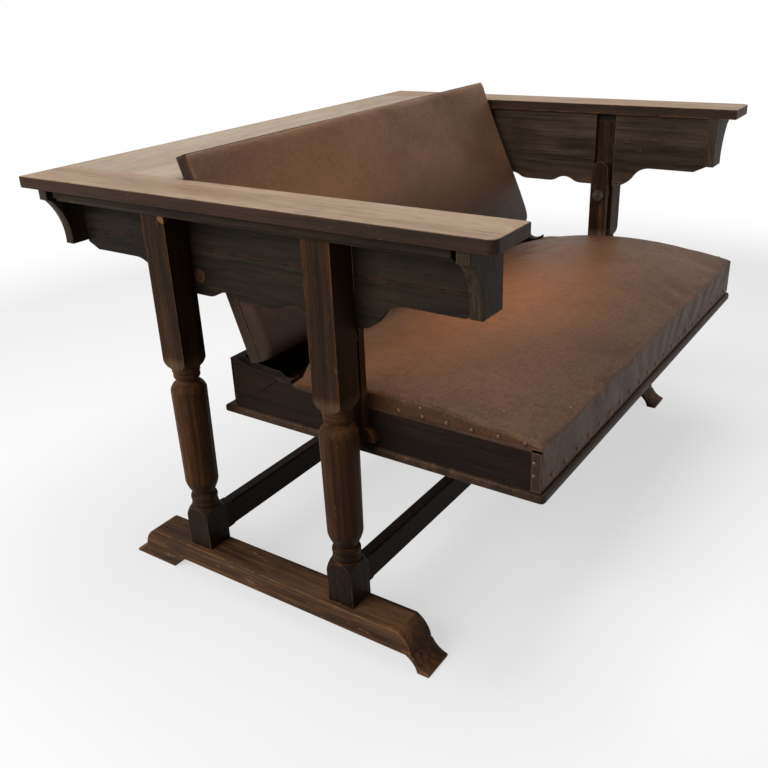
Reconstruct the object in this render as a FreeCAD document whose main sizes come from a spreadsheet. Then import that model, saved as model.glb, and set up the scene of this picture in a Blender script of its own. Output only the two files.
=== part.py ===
import FreeCAD, Part
import Sketcher
import math
import os

# A settle table: a bench on two sledge feet whose seat turns up and over on two
# pivots in the front legs, so that its base closes the gap between the arm boards
# and makes a table. The back folds forward under it.
# Millimetres. The origin is on the floor, under the middle of the whole piece: X runs
# along the bench, Y to the rear and Z up. Pieces are drawn about the middle of the
# feet, and placing them moves them all by the same origin_y.

os.makedirs("parts", exist_ok=True)
doc = FreeCAD.newDocument("settle_table")
sheet = doc.addObject("Spreadsheet::Sheet", "Sizes")
Vector = FreeCAD.Vector


class Measure:
    """A size with its number and the sheet expression it comes from."""

    def __init__(self, number, text):
        self.number = number
        self.text = text

    def __add__(self, other):
        other = measure(other)
        return Measure(self.number + other.number, f"({self.text} + {other.text})")

    def __sub__(self, other):
        other = measure(other)
        return Measure(self.number - other.number, f"({self.text} - {other.text})")

    def __mul__(self, other):
        other = measure(other)
        return Measure(self.number * other.number, f"({self.text} * {other.text})")

    def __truediv__(self, other):
        other = measure(other)
        return Measure(self.number / other.number, f"({self.text} / {other.text})")

    def __neg__(self):
        return self * -1

    __radd__ = __add__
    __rmul__ = __mul__

    def __rsub__(self, other):
        return measure(other) - self

    def __float__(self):
        return float(self.number)


def measure(value):
    """A plain number becomes a measure that no cell drives."""
    if isinstance(value, Measure):
        return value
    return Measure(float(value), f"({float(value):.6f})")


cells = 0


def size(word, number):
    """Write one driving size into the sheet and give it back as a measure."""
    global cells
    cells += 1
    sheet.set(f"A{cells}", word.replace("_", " "))
    sheet.set(f"B{cells}", str(number))
    sheet.setAlias(f"B{cells}", word)
    return Measure(float(number), f"Sizes.{word}")


# Overall sizes
top_height = size("top_height", 740)
overall_length = size("overall_length", 1200)
overall_depth = size("overall_depth", 910)

# Arm boards and rear board
board_thickness = size("board_thickness", 20)
arm_board_width = size("arm_board_width", 97.5)
arm_corner_radius = size("arm_corner_radius", 14)
board_arris = size("board_arris", 2)

# Legs
leg_square = size("leg_square", 51)
leg_spacing = size("leg_spacing", 326)
leg_inset = size("leg_inset", 24)
upper_block = size("upper_block", 255)
upper_tongue = size("upper_tongue", 15)
collar_height = size("collar_height", 10.5)
collar_width = size("collar_width", 50)
neck_height = size("neck_height", 6)
neck_width = size("neck_width", 39)
shoulder_height = size("shoulder_height", 26)
shaft_top_width = size("shaft_top_width", 64)
shaft_foot_width = size("shaft_foot_width", 60)
shaft_facets = 16
shaft_taper = size("shaft_taper", 28)
base_neck_height = size("base_neck_height", 5)
base_ring_height = size("base_ring_height", 12.5)
base_ring_width = size("base_ring_width", 49)
lower_tongue = size("lower_tongue", 20)
lower_block = size("lower_block", 62)
ring_bulge = size("ring_bulge", 1.8)

# Feet
foot_length = size("foot_length", 680)
foot_width = size("foot_width", 62)
foot_height = size("foot_height", 68)
foot_reveal = size("foot_reveal", 10)
foot_lift = size("foot_lift", 28)
foot_roll = size("foot_roll", 27)
foot_flare = size("foot_flare", 28)
foot_quirk = size("foot_quirk", 3)
foot_quirk_height = size("foot_quirk_height", 27)
toe_height = size("toe_height", 5)
rear_pad = size("rear_pad", 104)
rear_pad_rise = size("rear_pad_rise", 35)
front_pad = size("front_pad", 22)
front_pad_rise = size("front_pad_rise", 22)

# Rails on top of the legs
rail_thickness = size("rail_thickness", 20)
rail_reveal = size("rail_reveal", 12)
rail_end_gap = size("rail_end_gap", 10)
rail_cove = size("rail_cove", 6)

# Aprons
apron_thickness = size("apron_thickness", 12)
apron_plateau_rise = size("apron_plateau_rise", 46)
apron_below_pivot = size("apron_below_pivot", 34)
apron_peak = size("apron_peak", 12)
apron_dip_half = size("apron_dip_half", 30)
apron_arch_end = size("apron_arch_end", 110)
apron_rise_start = size("apron_rise_start", 195)
apron_rise_end = size("apron_rise_end", 275)
apron_end_cove = size("apron_end_cove", 12)
slot_rear_reach = size("slot_rear_reach", 20.5)
slot_front_reach = size("slot_front_reach", 26)
scribe_drop = size("scribe_drop", 82)
scribe_gap = size("scribe_gap", 3.6)
scribe_width = size("scribe_width", 1.2)
scribe_depth = size("scribe_depth", 0.8)

# Cove brackets under the ends of the arm boards
bracket_thickness = size("bracket_thickness", 20)
bracket_inset = size("bracket_inset", 37)
bracket_overhang = size("bracket_overhang", 6)
bracket_inner_gap = size("bracket_inner_gap", 0.5)
bracket_block = size("bracket_block", 18)
bracket_step = size("bracket_step", 8)
bracket_step_height = size("bracket_step_height", 3)
bracket_foot_width = size("bracket_foot_width", 55)
bracket_height = size("bracket_height", 103)
bracket_cove_radius = size("bracket_cove_radius", 105)

# Stretchers
stretcher_thickness = size("stretcher_thickness", 24)
stretcher_height = size("stretcher_height", 51.5)
stretcher_lift = size("stretcher_lift", 8)
stretcher_chamfer = size("stretcher_chamfer", 2.5)
stretcher_stop = size("stretcher_stop", 30)

# Seat
base_thickness = size("base_thickness", 16)
base_bottom = size("base_bottom", 327)
base_side_gap = size("base_side_gap", 1.5)
base_front_gap = size("base_front_gap", 2)
base_corner = size("base_corner", 8)
base_round = size("base_round", 5)
panel_lip = size("panel_lip", 3)
panel_thickness = size("panel_thickness", 20)
panel_height = size("panel_height", 70)
panel_to_back = size("panel_to_back", 19)
ear_rear_height = size("ear_rear_height", 94)
ear_lean = size("ear_lean", 7)
ear_front_height = size("ear_front_height", 81)
ear_length = size("ear_length", 95)
ear_hollow = size("ear_hollow", 260)
ear_nose = size("ear_nose", 22)
scoop_height = size("scoop_height", 72)
scoop_length = size("scoop_length", 19)
scoop_hollow = size("scoop_hollow", 34)
scoop_to_leather = size("scoop_to_leather", 20)
leather_start_height = size("leather_start_height", 81)
rear_wall_thickness = size("rear_wall_thickness", 20)
rear_wall_height = size("rear_wall_height", 83)
rear_wall_inset = size("rear_wall_inset", 18)
inner_rail_thickness = size("inner_rail_thickness", 20)
deck_thickness = size("deck_thickness", 12)
front_lip = size("front_lip", 6)
skirt_thickness = size("skirt_thickness", 4)
skirt_lift = size("skirt_lift", 2)
cushion_side_height = size("cushion_side_height", 22)
cushion_edge_height = size("cushion_edge_height", 30)
cushion_end_height = size("cushion_end_height", 7)
cushion_crown = size("cushion_crown", 32)
cushion_edge_rise = size("cushion_edge_rise", 1)
cushion_side_draw = size("cushion_side_draw", 16)
cushion_roll = size("cushion_roll", 26)
cushion_front_drop = size("cushion_front_drop", 4)
cushion_side_gap = size("cushion_side_gap", 0.5)

# Seat arms and their pivots
arm_thickness = size("arm_thickness", 14)
arm_width = size("arm_width", 40)
arm_foot_lift = size("arm_foot_lift", 15)
arm_top_height = size("arm_top_height", 612)
arm_toe_length = size("arm_toe_length", 20)
arm_toe_height = size("arm_toe_height", 21)
arm_toe_tip = size("arm_toe_tip", 5)
pin_width = size("pin_width", 12)
pin_clearance = size("pin_clearance", 0.05)
pin_head_width = size("pin_head_width", 26)
pin_head_height = size("pin_head_height", 3)
pin_depth = size("pin_depth", 24)
pivot_collar_width = size("pivot_collar_width", 36)
face_clearance = size("face_clearance", 0.3)

# Back
dowel_leg_gap = size("dowel_leg_gap", 2.5)
back_pivot_gap = size("back_pivot_gap", 40)
back_pivot_height = size("back_pivot_height", 590)
back_lean = size("back_lean", 19)
back_end_gap = size("back_end_gap", 4.5)
back_top_level = size("back_top_level", 778)
back_foot_level = size("back_foot_level", 422)
back_board_thickness = size("back_board_thickness", 14)
pivot_rail_depth = size("pivot_rail_depth", 29)
pivot_rail_height = size("pivot_rail_height", 36)
dowel_width = size("dowel_width", 22)
dowel_proud = size("dowel_proud", 1.5)
dowel_seat = size("dowel_seat", 30)
pad_top_depth = size("pad_top_depth", 15)
pad_middle_depth = size("pad_middle_depth", 29)
pad_bottom_depth = size("pad_bottom_depth", 42)
pad_edge_draw = size("pad_edge_draw", 9)
pad_bottom_roll = size("pad_bottom_roll", 30)
pad_top_roll = size("pad_top_roll", 16)

# Tacks
tack_width = size("tack_width", 9)
tack_height = size("tack_height", 2.5)
tack_spacing = size("tack_spacing", 48)
tack_margin = size("tack_margin", 38)
side_tack_start = size("side_tack_start", 24)
corner_tack_inset = size("corner_tack_inset", 8)
back_tack_margin = size("back_tack_margin", 12)
back_tack_drop = size("back_tack_drop", 9)
front_tack_height = size("front_tack_height", 358)
side_tack_rise = size("side_tack_rise", 6)
side_tack_spacing = size("side_tack_spacing", 44)
corner_tack_low = size("corner_tack_low", 371)
corner_tack_high = size("corner_tack_high", 391)

doc.recompute()

# Places that several pieces share
half_length = overall_length / 2
half_depth = overall_depth / 2
arm_inner_x = half_length - arm_board_width
leg_outer_x = half_length - leg_inset
leg_x = leg_outer_x - leg_square / 2
leg_inner_x = leg_outer_x - leg_square
leg_y = leg_spacing / 2
board_bottom = top_height - board_thickness
leg_top = board_bottom - rail_thickness
leg_height = leg_top - foot_height
bracket_inner = arm_inner_x + bracket_inner_gap
bracket_y = half_depth - bracket_inset - bracket_thickness / 2
apron_end = half_depth - bracket_inset - bracket_thickness
apron_x = leg_inner_x - apron_thickness / 2
apron_inner_x = leg_inner_x - apron_thickness
foot_x = leg_outer_x + foot_reveal - foot_width / 2
back_pivot_y = leg_y - leg_square / 2 - dowel_leg_gap - dowel_width / 2
rear_board_front = back_pivot_y + back_pivot_gap
rail_length = (apron_end - rail_end_gap) * 2

# The seat turns half a turn, and its base then lies flush with the arm boards.
pivot_y = -leg_y
pivot_height = (top_height + base_bottom) / 2
base_half_x = arm_inner_x - base_side_gap
base_rear = half_depth + pivot_y * 2
base_front = pivot_y * 2 - rear_board_front + base_front_gap
base_top = base_bottom + base_thickness
panel_rear_y = back_pivot_y - panel_to_back
ear_front_y = panel_rear_y - ear_length
scoop_y = ear_front_y - scoop_length
cushion_rear_y = scoop_y - scoop_to_leather
panel_outer_x = base_half_x - panel_lip
panel_inner_x = panel_outer_x - panel_thickness
panel_top = base_top + panel_height
rail_face_y = base_front + front_lip + skirt_thickness
arm_outer_x = panel_outer_x + arm_thickness
back_half_x = arm_inner_x - back_end_gap

# The back's levels are measured along it, as if it hung upright from its pivot.
back_above = back_top_level - back_pivot_height
back_below = back_pivot_height - back_foot_level

# The base reaches further forward than the boards reach back.
origin_y = (half_depth + base_front) / -2

parts = []
placed = []


def bind(item, property_name, value):
    """Tie one property of an object to a measure."""
    value = measure(value)
    item.setExpression(property_name, value.text)


def place(item, x=0, y=0, z=0):
    """Tie an object's place to measures."""
    for axis, value in zip("xyz", (x, measure(y) + origin_y, z)):
        bind(item, f".Placement.Base.{axis}", value)
    placed.append(item.Name)


def keep(item, name):
    """List an object as one of the finished pieces."""
    item.Label = name
    parts.append(item)
    made_of_placed = item.isDerivedFrom("Part::Boolean")
    if item.Name not in placed and not made_of_placed:
        place(item)
    return item


def plane(body, role):
    """One of a body's own origin planes."""
    return [item for item in body.Origin.OriginFeatures if item.Role == role][0]


def arc_between(start, end, radius):
    """The arc from start to end, counterclockwise when the radius is positive."""
    chord = end - start
    half = chord.Length / 2
    reach = math.sqrt(max(radius * radius - half * half, 0.0))
    middle = (start + end) * 0.5
    left = Vector(-chord.y, chord.x, 0).normalize()
    centre = middle + left * (reach if radius > 0 else -reach)
    first = math.atan2(start.y - centre.y, start.x - centre.x)
    last = math.atan2(end.y - centre.y, end.x - centre.x)
    if radius < 0:
        first, last = last, first
    if last < first:
        last += 2 * math.pi
    circle = Part.Circle(centre, Vector(0, 0, 1), abs(radius))
    return Part.ArcOfCircle(circle, first, last)


def outlines(body, role, name, loops, lift=None):
    """A sketch of closed outlines. A corner is (x, y), or (x, y, radius) where an
    arc of that radius runs to the next corner, counterclockwise when positive."""
    sketch = body.newObject("Sketcher::SketchObject", name)
    sketch.AttachmentSupport = [(plane(body, role), "")]
    sketch.MapMode = "FlatFace"
    if lift is not None:
        bind(sketch, "AttachmentOffset.Base.z", lift)
    for corners in loops:
        spots = [Vector(float(c[0]), float(c[1]), 0) for c in corners]
        count = len(corners)
        lines = []
        for i, corner in enumerate(corners):
            start, end = spots[i], spots[(i + 1) % count]
            if len(corner) == 3:
                radius = float(corner[2])
                line = sketch.addGeometry(arc_between(start, end, radius), False)
                lines.append((line, 1, 2) if radius > 0 else (line, 2, 1))
                spot = sketch.addConstraint(Sketcher.Constraint("Radius", line, abs(radius)))
                bind(sketch, f"Constraints[{spot}]", corner[2] if radius > 0 else -measure(corner[2]))
            else:
                line = sketch.addGeometry(Part.LineSegment(start, end), False)
                lines.append((line, 1, 2))
        for i, corner in enumerate(corners):
            line, begin, _ = lines[i]
            before, _, finish = lines[i - 1]
            sketch.addConstraint(Sketcher.Constraint("Coincident", before, finish, line, begin))
            for kind, value in (("DistanceX", corner[0]), ("DistanceY", corner[1])):
                spot = sketch.addConstraint(
                    Sketcher.Constraint(kind, -1, 1, line, begin, float(value)))
                bind(sketch, f"Constraints[{spot}]", value)
    return sketch


def circle_sketch(body, role, name, x, y, width, lift=None):
    """A sketch of one circle."""
    sketch = body.newObject("Sketcher::SketchObject", name)
    sketch.AttachmentSupport = [(plane(body, role), "")]
    sketch.MapMode = "FlatFace"
    if lift is not None:
        bind(sketch, "AttachmentOffset.Base.z", lift)
    centre = Vector(float(x), float(y), 0)
    circle = Part.Circle(centre, Vector(0, 0, 1), float(width) / 2)
    line = sketch.addGeometry(circle, False)
    spot = sketch.addConstraint(Sketcher.Constraint("Radius", line, float(width) / 2))
    bind(sketch, f"Constraints[{spot}]", width / 2)
    for kind, value in (("DistanceX", x), ("DistanceY", y)):
        spot = sketch.addConstraint(Sketcher.Constraint(kind, -1, 1, line, 3, float(value)))
        bind(sketch, f"Constraints[{spot}]", value)
    return sketch


def box_corners(x0, y0, x1, y1):
    return [(x0, y0), (x1, y0), (x1, y1), (x0, y1)]


def extrude(body, sketch, kind, length, middle=False, backwards=False):
    """A pad or a pocket of one sketch."""
    feature = body.newObject(f"PartDesign::{kind}", f"{sketch.Name}_{kind.lower()}")
    feature.Profile = sketch
    bind(feature, "Length", length)
    feature.Midplane = middle
    feature.Reversed = backwards
    return feature


def turned_cut(body, sketch):
    """A groove all round the sketch's upright axis."""
    feature = body.newObject("PartDesign::Groove", f"{sketch.Name}_groove")
    feature.Profile = sketch
    feature.ReferenceAxis = (sketch, ["V_Axis"])
    feature.Angle = 360
    return feature


def round_edges(body, base, chosen, radius):
    """Round the edges of the base feature that chosen(edge) picks."""
    doc.recompute()
    names = [f"Edge{i + 1}" for i, edge in enumerate(base.Shape.Edges) if chosen(edge)]
    feature = body.newObject("PartDesign::Fillet", f"{base.Name}_round")
    feature.Base = (base, names)
    bind(feature, "Radius", radius)
    return feature


def level(edge):
    """True for an edge that lies flat."""
    box = edge.BoundBox
    return box.ZLength < 0.001


def board(name, corners, bottom, thickness, arris, chosen=level):
    """A flat board from its plan, with softened arrises."""
    body = doc.addObject("PartDesign::Body", name)
    sketch = outlines(body, "XY_Plane", f"{name}_plan", [corners])
    pad = extrude(body, sketch, "Pad", thickness)
    round_edges(body, pad, chosen, arris)
    place(body, z=bottom)
    return keep(body, name)


def side_board(name, corners, thickness, x):
    """A board standing along the bench's side, from its outline in Y and Z."""
    body = doc.addObject("PartDesign::Body", name)
    sketch = outlines(body, "YZ_Plane", f"{name}_side", [corners])
    extrude(body, sketch, "Pad", thickness, middle=True)
    place(body, x=x)
    return keep(body, name)


def box(name, x0, x1, y0, y1, z0, z1):
    """A plain rectangular piece between measures."""
    item = doc.addObject("Part::Box", name)
    bind(item, "Length", measure(x1) - x0)
    bind(item, "Width", measure(y1) - y0)
    bind(item, "Height", measure(z1) - z0)
    place(item, x0, y0, z0)
    return keep(item, name)


SIDES = (("left", -1), ("right", 1))
ENDS = (("front", -1), ("rear", 1))


# Sledge feet: a rolled end, a quirk and a flared toe at each end
def foot(name, side):
    half = foot_length / 2
    flare = half - foot_flare
    roll = flare - foot_quirk
    flat = roll - foot_roll
    corners = [
        (-half, 0),
        (-half + front_pad, 0, -1.4 * foot_lift),
        (-half + front_pad + front_pad_rise, foot_lift),
        (half - rear_pad - rear_pad_rise, foot_lift, -1.4 * rear_pad_rise),
        (half - rear_pad, 0),
        (half, 0),
        (half, toe_height, -1.5 * foot_flare),
        (flare, foot_quirk_height),
        (roll, foot_quirk_height + 1, 1.9 * foot_roll),
        (flat, foot_height),
        (-flat, foot_height, 1.9 * foot_roll),
        (-roll, foot_quirk_height + 1),
        (-flare, foot_quirk_height, -1.5 * foot_flare),
        (-half, toe_height),
    ]
    return side_board(name, corners, foot_width, foot_x * side)


for side_name, side in SIDES:
    foot(f"foot_{side_name}", side)


# Turned legs: square blocks with tongued corners, rings, and a faceted shaft
def leg(name, side, end):
    body = doc.addObject("PartDesign::Body", name)
    half = leg_square / 2
    corner = leg_square * 0.7105
    block_end = leg_height - upper_block
    tongue_end = block_end - upper_tongue
    collar_end = tongue_end - collar_height * 2
    neck_end = collar_end - neck_height
    shoulder_end = neck_end - shoulder_height
    low_tongue_end = lower_block + lower_tongue
    ring_end = low_tongue_end + base_ring_height * 2
    base_neck_end = ring_end + base_neck_height
    taper_end = base_neck_end + shaft_taper
    square = box_corners(-half, -half, half, half)
    top = outlines(body, "XY_Plane", f"{name}_top", [square], lift=tongue_end)
    extrude(body, top, "Pad", leg_height - tongue_end)
    core = circle_sketch(body, "XY_Plane", f"{name}_core", 0, 0, leg_square)
    extrude(body, core, "Pad", leg_height - upper_block / 2)
    low = outlines(body, "XY_Plane", f"{name}_low", [square])
    extrude(body, low, "Pad", low_tongue_end)
    rings = []
    for mark, across, lift in (("a", shaft_foot_width, base_neck_end), ("b", shaft_top_width, neck_end)):
        points = []
        for i in range(shaft_facets):
            turn = 2 * math.pi * (i + 0.5) / shaft_facets
            points.append((across / 2 * math.cos(turn), across / 2 * math.sin(turn)))
        rings.append(outlines(body, "XY_Plane", f"{name}_shaft_{mark}", [points], lift=lift))
    shaft = body.newObject("PartDesign::AdditiveLoft", f"{name}_shaft")
    shaft.Profile = rings[0]
    shaft.Sections = [rings[1]]
    shaft.Ruled = True
    beyond = leg_square
    ring_inner = collar_width / 2 - ring_bulge
    upper = [
        (beyond, block_end),
        (corner, block_end, -1.3 * upper_tongue),
        (collar_width / 2 + 0.4, tongue_end),
        (ring_inner, tongue_end - 1, -0.9 * collar_height),
        (ring_inner, tongue_end - collar_height),
        (ring_inner - 1.4, tongue_end - collar_height, -0.9 * collar_height),
        (ring_inner - 1.4, collar_end),
        (neck_width / 2, collar_end - 1),
        (neck_width / 2, neck_end, -1.05 * shoulder_height),
        (shaft_top_width / 2 + 0.4, shoulder_end),
        (beyond, shoulder_end),
    ]
    turned_cut(body, outlines(body, "XZ_Plane", f"{name}_upper", [upper]))
    low_inner = base_ring_width / 2 - ring_bulge
    lower = [
        (beyond, taper_end),
        (shaft_foot_width / 2 + 0.6, taper_end, -2.2 * shaft_taper),
        (neck_width / 2, base_neck_end),
        (neck_width / 2, ring_end + 1),
        (low_inner, ring_end, -0.9 * base_ring_height),
        (low_inner, ring_end - base_ring_height),
        (low_inner, ring_end - base_ring_height - 0.8, -0.9 * base_ring_height),
        (low_inner, low_tongue_end),
        (leg_square / 2, low_tongue_end - 1, -1.5 * lower_tongue),
        (corner, lower_block),
        (beyond, lower_block),
    ]
    turned_cut(body, outlines(body, "XZ_Plane", f"{name}_lower", [lower]))
    if end < 0:
        hole = circle_sketch(body, "YZ_Plane", f"{name}_hole", 0, pivot_height - foot_height, pin_width)
        extrude(body, hole, "Pocket", leg_square, backwards=side < 0)
    place(body, leg_x * side, leg_y * end, foot_height)
    return keep(body, name)


for end_name, end in ENDS:
    for side_name, side in SIDES:
        leg(f"leg_{end_name}_{side_name}", side, end)


# Rails lying on the leg tops
def top_rail(name, side):
    body = doc.addObject("PartDesign::Body", name)
    inner = leg_inner_x * side
    outer = (leg_outer_x + rail_reveal) * side
    cove = rail_cove * side
    corners = [
        (inner, leg_top),
        (outer - cove, leg_top, -rail_cove * side),
        (outer, leg_top + rail_cove),
        (outer, board_bottom),
        (inner, board_bottom),
    ]
    sketch = outlines(body, "XZ_Plane", f"{name}_section", [corners])
    extrude(body, sketch, "Pad", rail_length, middle=True)
    return keep(body, name)


for side_name, side in SIDES:
    top_rail(f"top_rail_{side_name}", side)


# Arm boards, with one rounded corner at the front of each
def arm_board(name, side):
    inner = arm_inner_x * side
    outer = half_length * side
    corner = arm_corner_radius * side
    corners = [
        (inner, -half_depth),
        (outer - corner, -half_depth, arm_corner_radius * side),
        (outer, -half_depth + arm_corner_radius),
        (outer, half_depth),
        (inner, half_depth),
    ]

    def chosen(edge):
        ends = [vertex.Point for vertex in edge.Vertexes]
        along_rear_board = all(abs(abs(p.x) - float(arm_inner_x)) < 0.01 for p in ends)
        return level(edge) and not along_rear_board

    return board(name, corners, board_bottom, board_thickness, board_arris, chosen)


for side_name, side in SIDES:
    arm_board(f"arm_board_{side_name}", side)


def rear_board_edge(edge):
    ends = [vertex.Point for vertex in edge.Vertexes]
    return level(edge) and abs(ends[0].y - ends[-1].y) < 0.01


board("rear_board", box_corners(-arm_inner_x, rear_board_front, arm_inner_x, half_depth),
      board_bottom, board_thickness, board_arris, rear_board_edge)


# Cove brackets that close the ends of the aprons under the arm boards
def bracket(name, side, end):
    body = doc.addObject("PartDesign::Body", name)
    inner = bracket_inner * side
    outer = (half_length - bracket_overhang) * side
    step = outer - bracket_step * side
    foot_x_place = inner + bracket_foot_width * side
    block_bottom = board_bottom - bracket_block
    cove_top = block_bottom - bracket_step_height
    bottom = board_bottom - bracket_height
    corners = [
        (inner, bottom),
        (foot_x_place, bottom, -bracket_cove_radius * side),
        (step, cove_top),
        (outer, block_bottom),
        (outer, board_bottom),
        (inner, board_bottom),
    ]
    sketch = outlines(body, "XZ_Plane", f"{name}_section", [corners])
    extrude(body, sketch, "Pad", bracket_thickness, middle=True)
    place(body, y=bracket_y * end)
    return keep(body, name)


for end_name, end in ENDS:
    for side_name, side in SIDES:
        bracket(f"bracket_{end_name}_{side_name}", side, end)


# Aprons inside the legs, cut through in front of each seat pivot
apron_low = back_pivot_height - apron_below_pivot
apron_high = apron_low + apron_plateau_rise
slot_rear = pivot_y + slot_rear_reach
slot_front = pivot_y - slot_front_reach
wave_step = (apron_arch_end - apron_dip_half) / 4
wave_rise = apron_peak / 2
wave_radius = (wave_step * wave_step + wave_rise * wave_rise) / (2 * wave_rise)
rise_middle = (apron_rise_start + apron_rise_end) / 2
rise_height = (apron_low + apron_high) / 2
rise_radius = (apron_rise_end - apron_rise_start) * 0.62


def rise(sign):
    """The lower edge from the plateau near a bracket down to the leg."""
    return [
        (apron_end * sign, apron_high + apron_end_cove),
        ((apron_end - apron_end_cove * 2) * sign, apron_high),
        (apron_rise_end * sign, apron_high, rise_radius * sign),
        (rise_middle * sign, rise_height, -rise_radius * sign),
        (apron_rise_start * sign, apron_low),
    ]


def wave(start, way):
    """One smooth hump of the lower edge, from one end to where the next edge begins."""
    return [
        (start, apron_low, -wave_radius),
        (start + wave_step * way, apron_low + wave_rise, wave_radius),
        (start + wave_step * 3 * way, apron_low + wave_rise, -wave_radius),
        (start + wave_step * 4 * way, apron_low),
    ]


def scribed(body, name, side, length):
    """Two fine lines cut along the outer face."""
    face = apron_thickness / 2 * side
    depth = (apron_thickness / 2 - scribe_depth) * side
    beyond = (apron_thickness / 2 + 1) * side
    height = board_bottom - scribe_drop
    loops = []
    for offset in (0, 1):
        low = height - (scribe_gap + scribe_width) * offset
        loops.append(box_corners(depth, low, beyond, low + scribe_width))
    sketch = outlines(body, "XZ_Plane", f"{name}_scribe", loops)
    extrude(body, sketch, "Pocket", length * 2, middle=True)
    return face


def apron_long(name, side):
    rear = rise(1)
    front = wave(apron_arch_end, -1) + wave(-apron_dip_half, -1) + [(slot_rear, apron_low)]
    corners = [(apron_end, board_bottom)] + rear + front + [(slot_rear, board_bottom)]
    body = doc.addObject("PartDesign::Body", name)
    sketch = outlines(body, "YZ_Plane", f"{name}_side", [corners])
    extrude(body, sketch, "Pad", apron_thickness, middle=True)
    scribed(body, name, side, overall_depth)
    hole_width = dowel_width + pin_clearance * 2
    hole = circle_sketch(body, "YZ_Plane", f"{name}_hole", back_pivot_y, back_pivot_height, hole_width)
    extrude(body, hole, "Pocket", apron_thickness * 3, middle=True)
    place(body, x=apron_x * side)
    return keep(body, name)


def apron_short(name, side):
    corners = [(-apron_end, board_bottom)] + rise(-1)
    if float(slot_front) < -float(apron_rise_start):
        corners = corners[:-1] + [(slot_front, rise_height)]
    else:
        corners = corners + [(slot_front, apron_low)]
    corners = corners + [(slot_front, board_bottom)]
    body = doc.addObject("PartDesign::Body", name)
    sketch = outlines(body, "YZ_Plane", f"{name}_side", [corners])
    extrude(body, sketch, "Pad", apron_thickness, middle=True)
    scribed(body, name, side, overall_depth)
    place(body, x=apron_x * side)
    return keep(body, name)


for side_name, side in SIDES:
    apron_long(f"apron_long_{side_name}", side)
    apron_short(f"apron_short_{side_name}", side)


# Stretchers between the lower blocks, with stopped chamfers
def stretcher(name, end):
    body = doc.addObject("PartDesign::Body", name)
    half = stretcher_thickness / 2
    top = stretcher_height
    cut = stretcher_chamfer
    section = outlines(body, "YZ_Plane", f"{name}_section", [box_corners(-half, 0, half, top)])
    extrude(body, section, "Pad", leg_inner_x * 2, middle=True)
    loops = []
    for y_sign in (-1, 1):
        for z_corner, z_sign in ((0, 1), (top, -1)):
            loops.append([
                (half * y_sign, z_corner + cut * z_sign),
                ((half - cut) * y_sign, z_corner),
                ((half + 2) * y_sign, z_corner - measure(2) * z_sign),
            ])
    cuts = outlines(body, "YZ_Plane", f"{name}_chamfers", loops)
    extrude(body, cuts, "Pocket", (leg_inner_x - stretcher_stop) * 2, middle=True)
    place(body, y=leg_y * end, z=foot_height + stretcher_lift)
    return keep(body, name)


for end_name, end in ENDS:
    stretcher(f"stretcher_{end_name}", end)


# Seat pivots: a pin through each seat arm into the leg, and a collar between them
def cylinder(name, width, length, x, y, z, side):
    """A round bar that starts at x and runs outwards along the bench."""
    item = doc.addObject("Part::Cylinder", name)
    bind(item, "Radius", measure(width) / 2)
    bind(item, "Height", length)
    item.Placement = FreeCAD.Placement(Vector(), FreeCAD.Rotation(Vector(0, 1, 0), 90 * side))
    place(item, measure(x) * side, y, z)
    return item


def pivot(side_name, side):
    head_x = panel_outer_x - face_clearance - pin_head_height
    shaft = cylinder(f"pin_shaft_{side_name}", pin_width, leg_inner_x + pin_depth - head_x,
                     head_x, pivot_y, pivot_height, side)
    head = cylinder(f"pin_head_{side_name}", pin_head_width, pin_head_height,
                    head_x, pivot_y, pivot_height, side)
    pin = doc.addObject("Part::Fuse", f"pivot_pin_{side_name}")
    pin.Base = shaft
    pin.Tool = head
    keep(pin, f"pivot_pin_{side_name}")
    collar_x = arm_outer_x + face_clearance
    length = leg_inner_x - collar_x
    outside = cylinder(f"collar_outside_{side_name}", pivot_collar_width, length,
                       collar_x, pivot_y, pivot_height, side)
    inside = cylinder(f"collar_inside_{side_name}", pin_width, length,
                      collar_x, pivot_y, pivot_height, side)
    collar = doc.addObject("Part::Cut", f"pivot_collar_{side_name}")
    collar.Base = outside
    collar.Tool = inside
    keep(collar, f"pivot_collar_{side_name}")


for side_name, side in SIDES:
    pivot(side_name, side)


# Seat base: the leaf that becomes the middle of the table
def base_edges(edge):
    return level(edge)


base_corners = [
    (-base_half_x, base_rear),
    (-base_half_x, base_front + base_corner, base_corner),
    (-base_half_x + base_corner, base_front),
    (base_half_x - base_corner, base_front, base_corner),
    (base_half_x, base_front + base_corner),
    (base_half_x, base_rear),
]
board("seat_base", base_corners, base_bottom, base_thickness, base_round, base_edges)


# Side panels: low under the leather, with a scoop and an ear behind it
def seat_panel(name, side):
    corners = [
        (panel_rear_y, base_top),
        (panel_rear_y - ear_lean, base_top + ear_rear_height, -ear_hollow),
        (ear_front_y, base_top + ear_front_height, -ear_nose),
        (scoop_y, base_top + scoop_height, -scoop_hollow),
        (cushion_rear_y + face_clearance, base_top + leather_start_height),
        (cushion_rear_y + face_clearance, panel_top),
        (rail_face_y, panel_top),
        (rail_face_y, base_top),
    ]
    return side_board(name, corners, panel_thickness,
                      (panel_inner_x + panel_thickness / 2) * side)


rear_rail_face = cushion_rear_y - inner_rail_thickness
for side_name, side in SIDES:
    seat_panel(f"seat_panel_{side_name}", side)

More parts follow.
